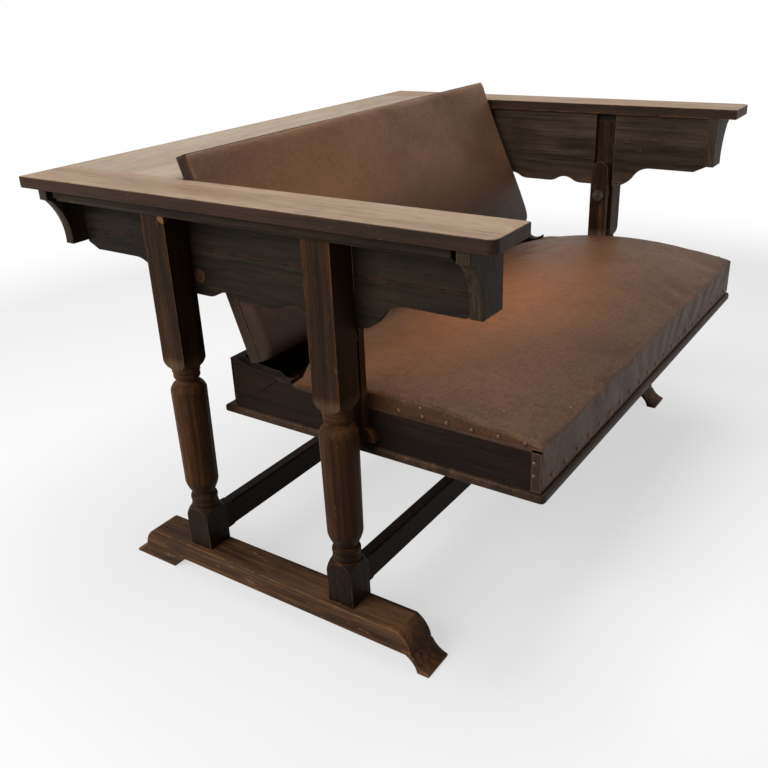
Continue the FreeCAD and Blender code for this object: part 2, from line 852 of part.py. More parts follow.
box("seat_front_rail", -panel_inner_x, panel_inner_x, rail_face_y,
    rail_face_y + inner_rail_thickness, base_top, panel_top)
box("seat_cross_rail", -panel_inner_x, panel_inner_x, rear_rail_face,
    cushion_rear_y, base_top, panel_top)
box("seat_deck", -panel_inner_x, panel_inner_x, rail_face_y + inner_rail_thickness,
    rear_rail_face, panel_top - deck_thickness, panel_top)
box("seat_rear_wall", -(panel_outer_x - rear_wall_inset), panel_outer_x - rear_wall_inset,
    panel_rear_y, panel_rear_y + rear_wall_thickness,
    base_top, base_top + rear_wall_height)


# Seat arms, fixed to the side panels and turning on the pins
def seat_arm(name, side):
    half = arm_width / 2
    foot_height_place = base_top + arm_foot_lift
    corners = [
        (pivot_y + half, foot_height_place),
        (pivot_y + half, arm_top_height - half, half),
        (pivot_y, arm_top_height, half),
        (pivot_y - half, arm_top_height - half),
        (pivot_y - half, foot_height_place + arm_toe_height, 1.2 * arm_toe_length),
        (pivot_y - half - arm_toe_length, foot_height_place + arm_toe_tip),
        (pivot_y - half - arm_toe_length, foot_height_place),
    ]
    body = doc.addObject("PartDesign::Body", name)
    sketch = outlines(body, "YZ_Plane", f"{name}_side", [corners])
    extrude(body, sketch, "Pad", arm_thickness, middle=True)
    hole_width = pin_width + pin_clearance * 2
    hole = circle_sketch(body, "YZ_Plane", f"{name}_hole", pivot_y, pivot_height, hole_width)
    extrude(body, hole, "Pocket", arm_thickness * 3, middle=True)
    place(body, x=(panel_outer_x + arm_thickness / 2) * side)
    return keep(body, name)


for side_name, side in SIDES:
    seat_arm(f"seat_arm_{side_name}", side)


def closed(points_and_arcs):
    """A closed wire from (start, middle or None, end) pieces."""
    edges = []
    for start, middle, end in points_and_arcs:
        if middle is None:
            edges.append(Part.makeLine(start, end))
        else:
            edges.append(Part.Arc(start, middle, end).toShape())
    return Part.Wire(edges)


# Seat cushion: sections from front to rear, each with upright leather sides, a
# rolled edge and a crown, and a leather skirt down the front
def seat_section(y, half, side_height, edge_height, crown, draw):
    bottom = float(panel_top)
    a = Vector(-half, y, bottom)
    b = Vector(half, y, bottom)
    c = Vector(half, y, bottom + side_height)
    d = Vector(half - draw, y, bottom + edge_height)
    e = Vector(-half + draw, y, bottom + edge_height)
    f = Vector(-half, y, bottom + side_height)
    bend = 0.29 * draw
    roll = Vector(half - bend, y, bottom + edge_height - 0.29 * (edge_height - side_height))
    other = Vector(-half + bend, y, roll.z)
    top = Vector(0, y, bottom + crown)
    return closed([(a, None, b), (b, None, c), (c, roll, d), (d, top, e), (e, other, f), (f, None, a)])


def seat_cushion():
    half = float(panel_outer_x) - float(cushion_side_gap)
    front = float(rail_face_y) - float(skirt_thickness)
    rear = float(cushion_rear_y)
    roll = float(cushion_roll)
    side = float(cushion_side_height)
    edge = float(cushion_edge_height)
    edge_rise = float(cushion_edge_rise)
    end = float(cushion_end_height)
    rise = float(cushion_crown) - edge
    drop = float(cushion_front_drop)
    draw = float(cushion_side_draw)
    inner = [(front + rear) / 2 + (rear - front) * k / 10 for k in range(-3, 4)]
    places = [front + roll * k for k in (0, 0.1, 0.3, 0.6, 1)] + inner
    places += [rear - roll * k for k in (1, 0.6, 0.3, 0.1, 0)]
    sections = []
    for y in places:
        near = min(1, min(y - front, rear - y) / roll)
        lost = drop * (1 - math.sqrt(1 - (1 - near) ** 2))
        middle = math.sin(math.pi * (y - front) / (rear - front))
        high = end + (edge - end) * middle - lost
        sections.append(seat_section(y, half, high * side / edge, high,
                                     high + edge_rise + (rise - edge_rise) * middle, draw))
    form = Part.makeLoft(sections, True, True)
    low = float(base_top) + float(skirt_lift)
    skirt = Part.makeBox(half * 2, float(skirt_thickness), float(panel_top) - low,
                         Vector(-half, front, low))
    return form.fuse(skirt).removeSplitter()


cushion = doc.addObject("Part::Feature", "seat_cushion")
cushion.Shape = seat_cushion()
keep(cushion, "seat_cushion")


# Back: board, pivot rail and pad in one leaning frame with the pivot at its origin
def lean(item):
    item.Placement = FreeCAD.Placement(
        Vector(), FreeCAD.Rotation(Vector(-1, 0, 0), float(back_lean)))
    bind(item, ".Placement.Rotation.Angle", back_lean)
    place(item, 0, back_pivot_y, back_pivot_height)


rail_front = -pivot_rail_depth / 2
back_board_front = rail_front - back_board_thickness


def back_piece(name, y0, y1, z0, z1, arris, hole=False):
    body = doc.addObject("PartDesign::Body", name)
    corners = box_corners(y0, z0, y1, z1)
    sketch = outlines(body, "YZ_Plane", f"{name}_section", [corners])
    pad = extrude(body, sketch, "Pad", back_half_x * 2, middle=True)
    if arris is not None:
        pad = round_edges(body, pad, lambda edge: edge.BoundBox.XLength > float(back_half_x), arris)
    if hole:
        for side_name, side in SIDES:
            bore = circle_sketch(body, "YZ_Plane", f"{name}_bore_{side_name}", 0, 0, dowel_width,
                                 lift=(back_half_x - dowel_seat) * side)
            extrude(body, bore, "Pocket", dowel_seat * 2, backwards=side > 0)
    lean(body)
    return keep(body, name)


back_piece("back_board", back_board_front, rail_front, -back_below, back_above, board_arris)
back_piece("back_pivot_rail", rail_front, rail_front + pivot_rail_depth,
           -pivot_rail_height / 2, pivot_rail_height / 2, None, hole=True)

for side_name, side in SIDES:
    dowel = cylinder(f"back_dowel_{side_name}", dowel_width,
                     leg_inner_x + dowel_proud - back_half_x + dowel_seat,
                     back_half_x - dowel_seat, back_pivot_y, back_pivot_height, side)
    keep(dowel, f"back_dowel_{side_name}")


# Back pad: sections from bottom to top, thick below and thin above
def back_section(z, half, depth, draw):
    behind = float(back_board_front)
    a = Vector(-half, behind, z)
    b = Vector(half, behind, z)
    c = Vector(half, behind - depth * 0.45, z)
    d = Vector(half - draw * 1.6, behind - depth * 0.93, z)
    e = Vector(-half + draw * 1.6, behind - depth * 0.93, z)
    f = Vector(-half, behind - depth * 0.45, z)
    roll = Vector(half - draw * 0.52, behind - depth * 0.77, z)
    other = Vector(-roll.x, roll.y, z)
    front = Vector(0, behind - depth, z)
    return closed([(a, None, b), (b, None, c), (c, roll, d), (d, front, e), (e, other, f), (f, None, a)])


def back_cushion():
    half = float(back_half_x)
    draw = float(pad_edge_draw)
    low = -float(back_below)
    high = float(back_above)
    bottom = float(pad_bottom_depth)
    middle = float(pad_middle_depth)
    top = float(pad_top_depth)
    low_roll = float(pad_bottom_roll)
    high_roll = float(pad_top_roll)
    places = [low + low_roll * k for k in (0, 0.1, 0.3, 0.6, 1)]
    places += [low + (high - low) * k for k in (0.16, 0.26, 0.38, 0.5, 0.62, 0.74, 0.84)]
    places += [high - high_roll * k for k in (1, 0.6, 0.3, 0.1, 0)]
    sections = []
    for z in places:
        above = z / high if z > 0 else z / -low
        if z > 0:
            depth = middle + (top - middle) * math.sin(math.pi / 2 * above)
        else:
            depth = middle + (bottom - middle) * math.sin(-math.pi / 2 * above)
        near = min(1, (z - low) / low_roll, (high - z) / high_roll)
        depth *= 0.55 + 0.45 * math.sqrt(1 - (1 - near) ** 2)
        sections.append(back_section(z, half, depth, draw))
    return Part.makeLoft(sections, True, True)


pad = doc.addObject("Part::Feature", "back_cushion")
pad.Shape = back_cushion()
lean(pad)
keep(pad, "back_cushion")


# Domed tacks: rows along the front and sides of the seat and the back's top edge
def dome(spot, outward):
    """One tack head standing on a face."""
    r = float(tack_width) / 2
    high = float(tack_height)
    ball = (r * r + high * high) / (2 * high)
    start = math.degrees(math.asin((ball - high) / ball))
    head = Part.makeSphere(ball, Vector(), Vector(0, 0, 1), start, 90, 360)
    head.translate(Vector(0, 0, high - ball))
    head.Placement = FreeCAD.Placement(
        spot, FreeCAD.Rotation(Vector(0, 0, 1), outward)).multiply(head.Placement)
    return head


def row_of(start, end, spacing):
    """Even places from start to end, no further apart than the spacing."""
    count = max(1, math.ceil((end - start) / spacing - 0.001))
    return [start + (end - start) * i / count for i in range(count + 1)]


def seat_tacks():
    heads = []
    front = float(rail_face_y) - float(skirt_thickness)
    reach = float(panel_outer_x) - float(tack_margin)
    for x in row_of(-reach, reach, float(tack_spacing)):
        heads.append(dome(Vector(x, front, float(front_tack_height)), Vector(0, -1, 0)))
    first = float(rail_face_y) + float(side_tack_start)
    last = float(pivot_y) - float(arm_width) / 2 - float(arm_toe_length) - float(tack_margin)
    height = float(panel_top) + float(side_tack_rise)
    for side_name, side in SIDES:
        for y in row_of(first, last, float(side_tack_spacing)):
            spot = Vector(side * (float(panel_outer_x) - float(cushion_side_gap)), y, height)
            heads.append(dome(spot, Vector(side, 0, 0)))
        for z in (float(corner_tack_low), float(corner_tack_high)):
            spot = Vector(side * float(panel_outer_x), float(rail_face_y) + float(corner_tack_inset), z)
            heads.append(dome(spot, Vector(side, 0, 0)))
    return Part.makeCompound(heads)


def back_tacks():
    heads = []
    reach = float(back_half_x) - float(back_tack_margin)
    for x in row_of(-reach, reach, float(tack_spacing)):
        spot = Vector(x, float(rail_front), float(back_above) - float(back_tack_drop))
        heads.append(dome(spot, Vector(0, 1, 0)))
    return Part.makeCompound(heads)


tacks = doc.addObject("Part::Feature", "seat_tacks")
tacks.Shape = seat_tacks()
keep(tacks, "seat_tacks")

tacks = doc.addObject("Part::Feature", "back_tacks")
tacks.Shape = back_tacks()
lean(tacks)
keep(tacks, "back_tacks")

doc.recompute()

faults = []
for item in doc.Objects:
    if "Invalid" in item.State or "Error" in item.State:
        faults.append(f"{item.Label}: {item.State}")
for item in parts:
    if item.Shape.isNull() or not item.Shape.isValid() or not item.Shape.Solids:
        faults.append(f"{item.Label}: shape")
if faults:
    raise RuntimeError("failed objects: " + "; ".join(faults))

for item in parts:
    item.Shape.exportStep(f"parts/{item.Label}.step")
    box_of = item.Shape.BoundBox
    print(f"{item.Label}: {len(item.Shape.Solids)} solids, {item.Shape.Volume / 1000:.1f} cm3, "
          f"X {box_of.XMin:.1f} {box_of.XMax:.1f}, Y {box_of.YMin:.1f} {box_of.YMax:.1f}, "
          f"Z {box_of.ZMin:.1f} {box_of.ZMax:.1f}")
print(len(parts), "pieces")
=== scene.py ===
import math
import random

import bmesh
import bpy
from mathutils import Matrix, Vector
from mathutils.bvhtree import BVHTree


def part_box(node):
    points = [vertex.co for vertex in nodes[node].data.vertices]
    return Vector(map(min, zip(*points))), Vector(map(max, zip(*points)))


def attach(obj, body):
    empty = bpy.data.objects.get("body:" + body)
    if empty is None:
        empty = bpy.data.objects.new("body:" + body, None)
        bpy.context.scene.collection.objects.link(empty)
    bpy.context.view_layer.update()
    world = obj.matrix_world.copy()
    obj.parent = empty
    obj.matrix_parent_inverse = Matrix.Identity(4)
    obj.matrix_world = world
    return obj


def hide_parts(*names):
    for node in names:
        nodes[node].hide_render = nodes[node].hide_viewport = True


# A settle table: dark oak, with a leather seat that turns over and a leather back.
# Metres, in the row frame: X runs along the bench, Y to the rear and Z up.
# In order: the finishes, the CAD's own pieces dressed, the seat and back pads, the hide
# turned over the edges, the tack heads, then the floor, lamps, world and camera.

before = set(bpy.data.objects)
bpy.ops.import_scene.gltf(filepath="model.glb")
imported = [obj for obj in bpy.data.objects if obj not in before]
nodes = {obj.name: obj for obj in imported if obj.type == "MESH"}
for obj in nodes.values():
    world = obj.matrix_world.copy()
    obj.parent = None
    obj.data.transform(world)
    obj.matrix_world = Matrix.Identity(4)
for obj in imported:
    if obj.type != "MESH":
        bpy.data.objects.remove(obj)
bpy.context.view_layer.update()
chance = random.Random(7)


def paint(red, green, blue):
    """A colour as it shows on a screen, from 0 to 255, as Blender's own numbers."""
    shades = [value / 255 for value in (red, green, blue)]
    return [s / 12.92 if s <= 0.04045 else ((s + 0.055) / 1.055) ** 2.4 for s in shades] + [1.0]


class Value:
    """A socket of a finish that can be written into sums."""

    def __init__(self, finish, socket):
        self.finish = finish
        self.socket = socket

    def sum(self, operation, first, second=0.0):
        return self.finish.add("ShaderNodeMath", {"operation": operation}, {0: first, 1: second})

    def __add__(self, other):
        return self.sum("ADD", self, other)

    def __sub__(self, other):
        return self.sum("SUBTRACT", self, other)

    def __rsub__(self, other):
        return self.sum("SUBTRACT", other, self)

    def __mul__(self, other):
        return self.sum("MULTIPLY", self, other)

    __radd__ = __add__
    __rmul__ = __mul__

    def at_least(self, other):
        return self.sum("MAXIMUM", self, other)

    def at_most(self, other):
        return self.sum("MINIMUM", self, other)

    def rising(self, low, high):
        """0 below low, 1 above high and smooth between them."""
        return self.finish.add("ShaderNodeMapRange", {"interpolation_type": "SMOOTHSTEP"},
                               {"Value": self, "From Min": low, "From Max": high})


class Finish:
    """A material or a world, put together node by node."""

    def __init__(self, block):
        block.use_nodes = True
        self.block = block
        self.tree = block.node_tree
        self.tree.nodes.clear()

    def add(self, kind, settings=None, sockets=None, out=0):
        """A node with its settings, then its sockets. Gives back one of its outputs."""
        made = self.tree.nodes.new(kind)
        for name, setting in (settings or {}).items():
            setattr(made, name, setting)
        for name, value in (sockets or {}).items():
            socket = made.inputs[name]
            if isinstance(value, Value):
                self.tree.links.new(value.socket, socket)
            else:
                socket.default_value = value
        return Value(self, made.outputs[out]) if made.outputs else None

    def place(self):
        """Where on its own piece a point lies, in metres."""
        return self.add("ShaderNodeTexCoord", out="Object")

    def facing(self, axis):
        """How far a face looks along one axis of its own piece."""
        way = self.add("ShaderNodeTexCoord", out="Normal")
        return self.add("ShaderNodeSeparateXYZ", None, {0: way}, out=axis)

    def scaled(self, vector, by):
        return self.add("ShaderNodeVectorMath", {"operation": "MULTIPLY"}, {0: vector, 1: by})

    def moved(self, vector, by):
        return self.add("ShaderNodeVectorMath", {"operation": "ADD"}, {0: vector, 1: by})

    def mottle(self, vector, scale, detail=3.0, rough=0.55, out="Fac"):
        """Soft noise from 0 to 1."""
        sockets = {"Vector": vector, "Scale": scale, "Detail": detail, "Roughness": rough}
        return self.add("ShaderNodeTexNoise", None, sockets, out)

    def near(self, vector, point, reach):
        """1 at a point, falling to 0 at its reach."""
        gap = self.add("ShaderNodeVectorMath", {"operation": "DISTANCE"},
                       {0: vector, 1: point}, out="Value")
        return 1.0 - gap.rising(0.0, reach)

    def mix(self, share, first, second, blend="MIX"):
        """One colour over another."""
        return self.add("ShaderNodeMix", {"data_type": "RGBA", "blend_type": blend},
                        {0: share, 6: first, 7: second}, out=2)

    def worn_edge(self, radius):
        """1 on sharp edges, 0 on flat faces."""
        rounded = self.add("ShaderNodeBevel", {"samples": 6}, {"Radius": radius})
        plain = self.add("ShaderNodeNewGeometry", out="Normal")
        same = self.add("ShaderNodeVectorMath", {"operation": "DOT_PRODUCT"},
                        {0: rounded, 1: plain}, out="Value")
        return (1.0 - same).rising(0.008, 0.12)

    def looked_at(self):
        """1 for what the camera sees, straight, mirrored or through glass; else 0."""
        straight, mirrored, through = [self.add("ShaderNodeLightPath", out=f"Is {way} Ray")
                                       for way in ("Camera", "Glossy", "Transmission")]
        return straight.at_least(mirrored).at_least(through)

    def close(self, sockets, height, depth):
        """The shader itself, with a bump from a height."""
        bump = self.add("ShaderNodeBump", None,
                        {"Strength": 1.0, "Distance": depth, "Height": height})
        shader = self.add("ShaderNodeBsdfPrincipled", None, {"Normal": bump, **sockets})
        self.add("ShaderNodeOutputMaterial", None, {"Surface": shader})
        return self.block


def stretched(along, across, length):
    """A scale for a vector that draws out a pattern along one axis."""
    scale = [across] * 3
    scale[along] = length
    return scale


def oak(name, along, deep, middle, worn, wear=1.0, gloss=0.07, top=None, upward=1.0,
        chips=(), bands=(), lines=(), lined=-1.0):
    """Stained oak with its grain along one axis, rubbed through at the edges. Chips are
    (point, reach, colour), bands (low, high, share, colour) lie across the height, and
    lines are the heights of fine lines scribed on one side. A top is pale where it looks up."""
    f = Finish(bpy.data.materials.new(name))
    spot = f.place()
    sway = f.scaled(f.mottle(spot, 2.2, 2.0, out="Color"), (0.02, 0.02, 0.02))
    spot_swayed = f.moved(spot, sway)
    broad = f.mottle(f.scaled(spot_swayed, stretched(along, 1.0, 0.07)), 26.0, 3.0)
    fine = f.mottle(f.scaled(spot_swayed, stretched(along, 1.0, 0.035)), 210.0, 4.0, 0.62)
    pores = f.mottle(f.scaled(spot_swayed, stretched(along, 1.0, 0.03)), 620.0, 2.0, 0.5)
    pores = pores.rising(0.60, 0.70)
    patches = f.mottle(spot, 5.5, 4.0)
    rubbed = f.mottle(spot, 38.0, 5.0, 0.65)
    streaks = f.moved(spot_swayed, (0.31, 0.17, 0.23))
    streaks = f.mottle(f.scaled(streaks, stretched(along, 1.0, 0.05)), 105.0, 3.0, 0.6)
    grain = (broad * 0.40 + fine * 0.25 + streaks * 0.35).rising(0.38, 0.62)
    colour = f.mix(grain, deep, middle)
    if bands or lines:
        height_here = f.add("ShaderNodeSeparateXYZ", None, {0: spot}, out="Z")
    for low, high, share, shade in bands:
        inside = height_here.rising(low, low + 0.02) * (1.0 - height_here.rising(high - 0.02, high))
        tone = f.mix(grain, [c * 0.45 for c in shade[:3]] + [1.0], shade)
        colour = f.mix(inside * share, colour, tone)
    shade = f.mix(grain, paint(30, 22, 18), deep)
    colour = f.mix(patches.rising(0.42, 0.68) * 0.55, colour, shade)
    for line in lines:
        off = height_here - line
        mark = 1.0 - (off * off).rising(0.0000008, 0.0000030)
        mark = mark * (f.facing("X") * lined).rising(0.5, 0.9)
        colour = f.mix(mark * 0.75, colour, paint(9, 8, 7))
    if top is not None:
        pale, pale_deep = top
        level = (f.facing("Z") * upward).rising(0.5, 0.9)
        face = f.mix((broad * 0.5 + fine * 0.5).rising(0.36, 0.64), pale_deep, pale)
        face = f.mix(f.mottle(spot, 4.2, 3.0).rising(0.48, 0.70) * 0.35, face, pale_deep)
        colour = f.mix(level, colour, face)
    edge = f.worn_edge(0.0035) * rubbed.rising(0.36, 0.62) * wear
    colour = f.mix(edge.at_most(1.0) * 0.8, colour, worn)
    scuffs = f.mottle(f.scaled(spot, stretched(along, 1.0, 0.3)), 95.0, 5.0, 0.7)
    scuffs = scuffs.rising(0.60, 0.74) * wear
    colour = f.mix(scuffs.at_most(1.0) * 0.45, colour, worn)
    for point, reach, shade in chips:
        bite = f.near(spot, point, reach) + (rubbed - 0.5) * 0.9
        colour = f.mix(bite.rising(0.42, 0.55), colour, shade)
    colour = f.mix(pores * 0.55, colour, paint(16, 11, 8))
    rough = 0.46 + fine * 0.16 + edge * 0.12
    height = fine * 0.35 + pores * -0.5 + rubbed * 0.25
    return f.close({"Base Color": colour, "Roughness": rough, "Specular IOR Level": gloss},
                   height, 0.0006)


def hide(name, deep, middle, worn, centre, reach, shaded=None):
    """Old upholstery leather: tanned, darkened by hands and rubbed pale where sat on."""
    f = Finish(bpy.data.materials.new(name))
    spot = f.place()
    broad = f.mottle(spot, 4.5, 4.0, 0.55)
    clouds = f.mottle(f.moved(spot, (3.1, 1.7, 0.4)), 11.0, 5.0, 0.6)
    specks = f.mottle(spot, 160.0, 3.0, 0.6)
    # the grain of the skin, then its fine creases
    sway = f.scaled(f.mottle(spot, 60.0, 2.0, out="Color"), (0.006,) * 3)
    cells = f.add("ShaderNodeTexVoronoi", {"feature": "DISTANCE_TO_EDGE"},
                  {"Vector": f.moved(spot, sway), "Scale": 420.0}, out="Distance")
    skin = cells.rising(0.0, 0.16)
    creases = f.mottle(f.scaled(spot, (1.0, 0.35, 1.0)), 34.0, 6.0, 0.72)
    crease = 1.0 - (creases - 0.5).sum("ABSOLUTE", creases - 0.5).rising(0.0, 0.035)
    colour = f.mix(broad.rising(0.34, 0.62), deep, middle)
    sat = f.near(f.scaled(spot, (1.0 / reach[0], 1.0 / reach[1], 1.0 / reach[2])),
                 [c / r for c, r in zip(centre, reach)], 1.0)
    colour = f.mix((sat * (0.7 + clouds * 0.5)).at_most(1.0) * 0.9, colour, worn)
    colour = f.mix(clouds.rising(0.55, 0.80) * 0.22, colour, deep)
    hairs = f.mottle(f.scaled(spot, (0.5, 1.0, 0.7)), 230.0, 4.0, 0.7)
    colour = f.mix(hairs.rising(0.42, 0.66) * 0.20, colour, worn)
    colour = f.mix((1.0 - hairs.rising(0.34, 0.50)) * 0.25, colour, deep)
    # painted shade: darker towards the lower edge of the pad, where the arm boards cast their
    # shadow
    if shaded:
        low = f.add("ShaderNodeSeparateXYZ", None, {0: spot}, out="Z")
        colour = f.mix((1.0 - low.rising(*shaded)) * 0.9, colour, paint(40, 26, 19))
    colour = f.mix(crease * 0.18, colour, paint(52, 33, 24))
    edge = f.worn_edge(0.005) * clouds.rising(0.35, 0.6)
    colour = f.mix(edge * 0.45, colour, paint(138, 104, 82))
    flecks = f.mottle(f.moved(spot, (0.7, 2.9, 1.3)), 95.0, 1.0, 0.5).rising(0.80, 0.83)
    colour = f.mix(flecks * 0.6, colour, paint(176, 158, 140))
    rough = 0.40 + clouds * 0.18 + crease * 0.05
    height = skin * 0.25 + specks * 0.20 - crease * 0.45 + clouds * 0.6
    return f.close({"Base Color": colour, "Roughness": rough, "Specular IOR Level": 0.16,
                    "Coat Weight": 0.04, "Coat Roughness": 0.35}, height, 0.0007)


def metal(name, bright, dull, scale=300.0, low=0.32):
    """Old metal, dulled in patches."""
    f = Finish(bpy.data.materials.new(name))
    spot = f.place()
    patches = f.mottle(spot, scale, 4.0, 0.6)
    colour = f.mix(patches.rising(0.35, 0.62), bright, dull)
    return f.close({"Base Color": colour, "Metallic": 0.85 - patches * 0.3,
                    "Roughness": low + patches * 0.3}, patches, 0.0002)


ALONG_X, ALONG_Y, ALONG_Z = 0, 1, 2
SCRIBED = (0.6386, 0.6338)
RUBBED = paint(122, 80, 48)
BOARD_EDGE = (paint(38, 27, 19), paint(64, 44, 31), paint(132, 92, 62))

oak_x = oak("dark oak along the bench", ALONG_X, paint(22, 15, 9), paint(40, 28, 18), RUBBED,
            wear=0.7, gloss=0.04)
oak_y = oak("dark oak front to rear", ALONG_Y, paint(30, 24, 18), paint(52, 41, 31),
            paint(84, 58, 38), wear=0.7)
oak_apron = oak("dark oak aprons", ALONG_Y, paint(28, 23, 18), paint(54, 46, 37),
                paint(100, 72, 48), wear=0.9, lines=SCRIBED)
# painted light: a lighter copy of the apron finish, standing in for the light on the right-hand
# aprons' inner faces
oak_lit = oak("painted-light oak aprons", ALONG_Y, paint(42, 34, 27), paint(84, 69, 57),
              paint(124, 92, 64), wear=0.9, lines=SCRIBED, lined=1.0)
oak_leg = oak("dark oak upright", ALONG_Z, paint(30, 20, 12), paint(72, 49, 30), RUBBED,
              wear=1.3,
              bands=((0.195, 0.46, 0.65, paint(96, 62, 38)), (-0.01, 0.165, 0.8, paint(32, 22, 14)),
                     (0.42, 0.455, 0.75, paint(118, 96, 74))),
              chips=(((-0.575, 0.156, 0.697), 0.021, paint(138, 98, 58)),))
oak_bracket = oak("dark oak brackets", ALONG_Z, paint(42, 35, 28), paint(80, 68, 56),
                  paint(124, 94, 64), wear=1.1)
oak_panel = oak("dark oak seat sides", ALONG_Y, paint(22, 16, 12), paint(42, 30, 22),
                paint(96, 70, 50), wear=0.8)
oak_foot = oak("worn oak feet", ALONG_Y, paint(54, 38, 27), paint(116, 83, 57),
               paint(174, 126, 84), wear=1.9)
oak_arm = oak("arm board oak", ALONG_Y, *BOARD_EDGE, wear=1.2, gloss=0.12,
              top=(paint(156, 133, 111), paint(130, 106, 84)))
oak_rear = oak("rear board oak", ALONG_X, *BOARD_EDGE, wear=1.0, gloss=0.12,
               top=(paint(164, 150, 131), paint(142, 124, 103)))
oak_base = oak("seat base oak", ALONG_X, paint(40, 29, 21), paint(80, 58, 41),
               paint(150, 112, 76), wear=2.0, gloss=0.12,
               top=(paint(146, 122, 98), paint(110, 88, 68)), upward=-1.0)
oak_inner = oak("inner wood", ALONG_X, paint(96, 74, 52), paint(132, 104, 76),
                paint(150, 118, 86), wear=0.5)
oak_dowel = oak("dowel end", ALONG_X, paint(58, 40, 27), paint(96, 68, 46), paint(130, 92, 60))
leather_seat = hide("seat leather", paint(60, 39, 26), paint(78, 52, 34), paint(146, 92, 54),
                    (-0.05, -0.17, 0.44), (0.60, 0.30, 0.4))
# shaded paints shade on the lower part of the back pad
leather_back = hide("back leather", paint(98, 71, 52), paint(126, 93, 70), paint(142, 97, 64),
                    (-0.25, 0.10, 0.66), (0.45, 0.3, 0.20), shaded=(0.50, 0.68))
leather_lap = hide("leather laps", paint(32, 20, 14), paint(48, 31, 22), paint(60, 40, 27),
                   (0.0, 0.0, 0.4), (1.0, 1.0, 1.0))
tack_metal = metal("tack heads", paint(112, 78, 54), paint(58, 42, 33))
iron = metal("pivot iron", paint(90, 82, 76), paint(56, 46, 40), 120.0, 0.42)

FINISHES = {
    "foot_": oak_foot, "leg_": oak_leg, "top_rail_": oak_y, "arm_board_": oak_arm,
    # the right-hand aprons take the lighter apron finish, which is painted light
    "rear_board": oak_rear, "bracket_": oak_bracket, "apron_long_right": oak_lit,
    "apron_short_right": oak_lit, "apron_": oak_apron, "stretcher_": oak_x,
    "pivot_": iron, "seat_base": oak_base, "seat_panel_": oak_panel, "seat_front_rail": oak_inner,
    "seat_cross_rail": oak_inner, "seat_deck": oak_inner, "seat_rear_wall": oak_x,
    "seat_arm_": oak_leg, "back_board": oak_x, "back_pivot_rail": oak_x, "back_dowel_": oak_dowel,
    "seat_cushion": leather_seat, "back_cushion": leather_back,
    "seat_tacks": tack_metal, "back_tacks": tack_metal,
}
ARRISES = {
    "foot_": 0.0022, "leg_": 0.0014, "top_rail_": 0.0012, "bracket_": 0.0014, "apron_": 0.0010,
    "stretcher_": 0.0012, "seat_panel_": 0.0012, "seat_arm_": 0.0012, "seat_rear_wall": 0.001,
}


def dress(node):
    """Give a CAD piece its finish, and soften its arrises where it is wood."""
    piece = nodes[node]
    finish = next(f for start, f in FINISHES.items() if node.startswith(start))
    for place in piece.material_slots:
        place.link = "OBJECT"
        place.material = finish
    width = next((w for start, w in ARRISES.items() if node.startswith(start)), None)
    if width:
        weld = piece.modifiers.new("join", "WELD")
        weld.merge_threshold = 0.00002
        bevel = piece.modifiers.new("arris", "BEVEL")
        bevel.width = width
        bevel.segments = 2
        bevel.limit_method = "ANGLE"
        bevel.angle_limit = math.radians(35)
        bevel.use_clamp_overlap = True
        bevel.harden_normals = False


for node in nodes:
    dress(node)


def piece_from(name, points, faces, finish, body, smooth=True):
    """A new piece from its points and faces, riding on a body."""
    mesh = bpy.data.meshes.new(name)
    mesh.from_pydata([tuple(p) for p in points], [], faces)
    mesh.validate()
    mesh.materials.append(finish)
    mesh.polygons.foreach_set("use_smooth", [smooth] * len(mesh.polygons))
    piece = bpy.data.objects.new(name, mesh)
    bpy.context.scene.collection.objects.link(piece)
    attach(piece, body)
    return piece


def cover(name, columns, rows, outer, inner, finish, body, rim=2):
    """A closed pad: an outer grid, an inner grid behind it and a rim between them."""
    points, faces = [], []
    wide, high = len(columns), len(rows)
    for face in (outer, inner):
        for u in columns:
            for v in rows:
                points.append(Vector(face(u, v)))
    second = wide * high

    def spot(layer, i, j):
        return layer * second + i * high + j

    for i in range(wide - 1):
        for j in range(high - 1):
            faces.append((spot(0, i, j), spot(0, i + 1, j),
                          spot(0, i + 1, j + 1), spot(0, i, j + 1)))
            faces.append((spot(1, i, j), spot(1, i, j + 1),
                          spot(1, i + 1, j + 1), spot(1, i + 1, j)))
    around = [(i, 0) for i in range(wide)] + [(wide - 1, j) for j in range(1, high)]
    around += [(i, high - 1) for i in range(wide - 2, -1, -1)]
    around += [(0, j) for j in range(high - 2, 0, -1)]
    rings = [[spot(0, i, j) for i, j in around]]
    for step in range(1, rim + 1):
        share = step / (rim + 1)
        ring = []
        for i, j in around:
            ring.append(len(points))
            points.append(points[spot(0, i, j)].lerp(points[spot(1, i, j)], share))
        rings.append(ring)
    rings.append([spot(1, i, j) for i, j in around])
    for one, two in zip(rings, rings[1:]):
        for k in range(len(around)):
            after = (k + 1) % len(around)
            faces.append((one[k], two[k], two[after], one[after]))
    piece = piece_from(name, points, faces, finish, body)
    form = bmesh.new()
    form.from_mesh(piece.data)
    bmesh.ops.recalc_face_normals(form, faces=form.faces)
    form.to_mesh(piece.data)
    form.free()
    return piece, second


SETTLED = 20  # frames of simulation


